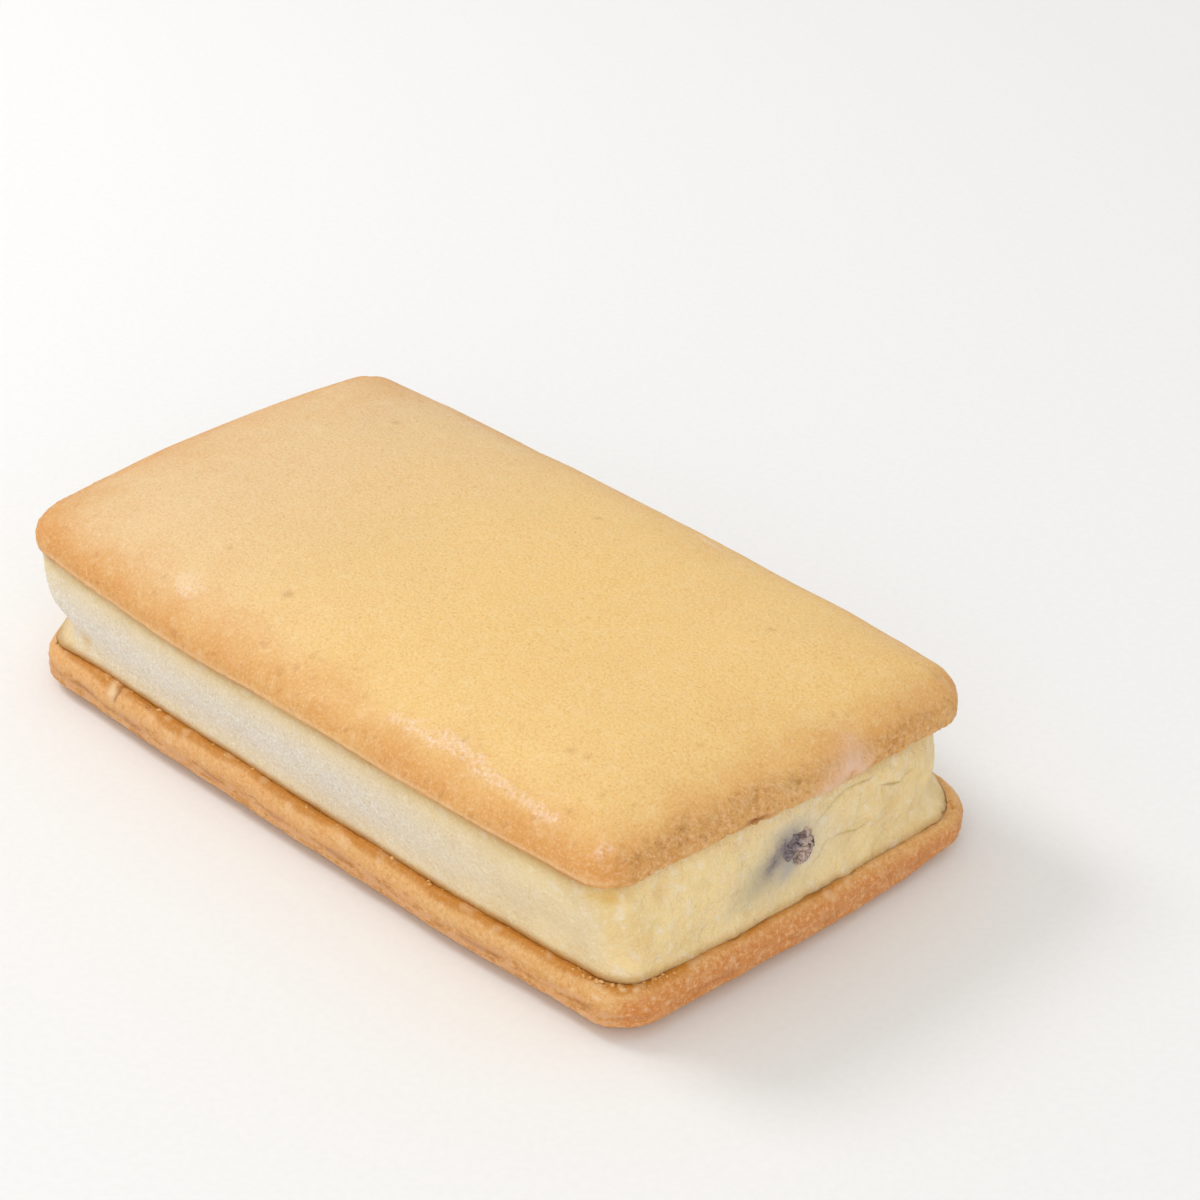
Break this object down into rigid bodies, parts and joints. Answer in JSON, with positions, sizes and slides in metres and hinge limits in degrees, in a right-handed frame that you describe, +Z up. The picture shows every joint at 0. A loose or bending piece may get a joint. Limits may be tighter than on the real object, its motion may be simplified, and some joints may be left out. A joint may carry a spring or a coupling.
{
  "type": "ice cream sandwich",
  "caption": "Slab of pale raisin ice cream between two soft golden biscuits, lying flat, with a raisin showing at one end.",
  "frame": {"origin": "middle of the footprint, on the surface that the sandwich lies on", "axes": "+X along the long sides, +Y across, +Z up through the biscuits; the end with the visible raisin is at +X"},
  "size_m": [0.0956, 0.0538, 0.0243],
  "materials": {
    "upper_biscuit": "soft baked biscuit, pale gold, browner towards the edges, slightly shiny in patches",
    "ice_cream": "pale cream ice cream, frosty on the long sides, smoother and yellower at the ends",
    "raisin": "dark wrinkled raisin, moist",
    "lower_biscuit": "soft baked biscuit, orange brown rim"
  },
  "bodies": {
    "root": {"upper_biscuit": "upper_biscuit", "ice_cream": "ice_cream", "raisin_end": "raisin", "raisin_side": "raisin", "lower_biscuit": "lower_biscuit"}
  },
  "joints": []
}
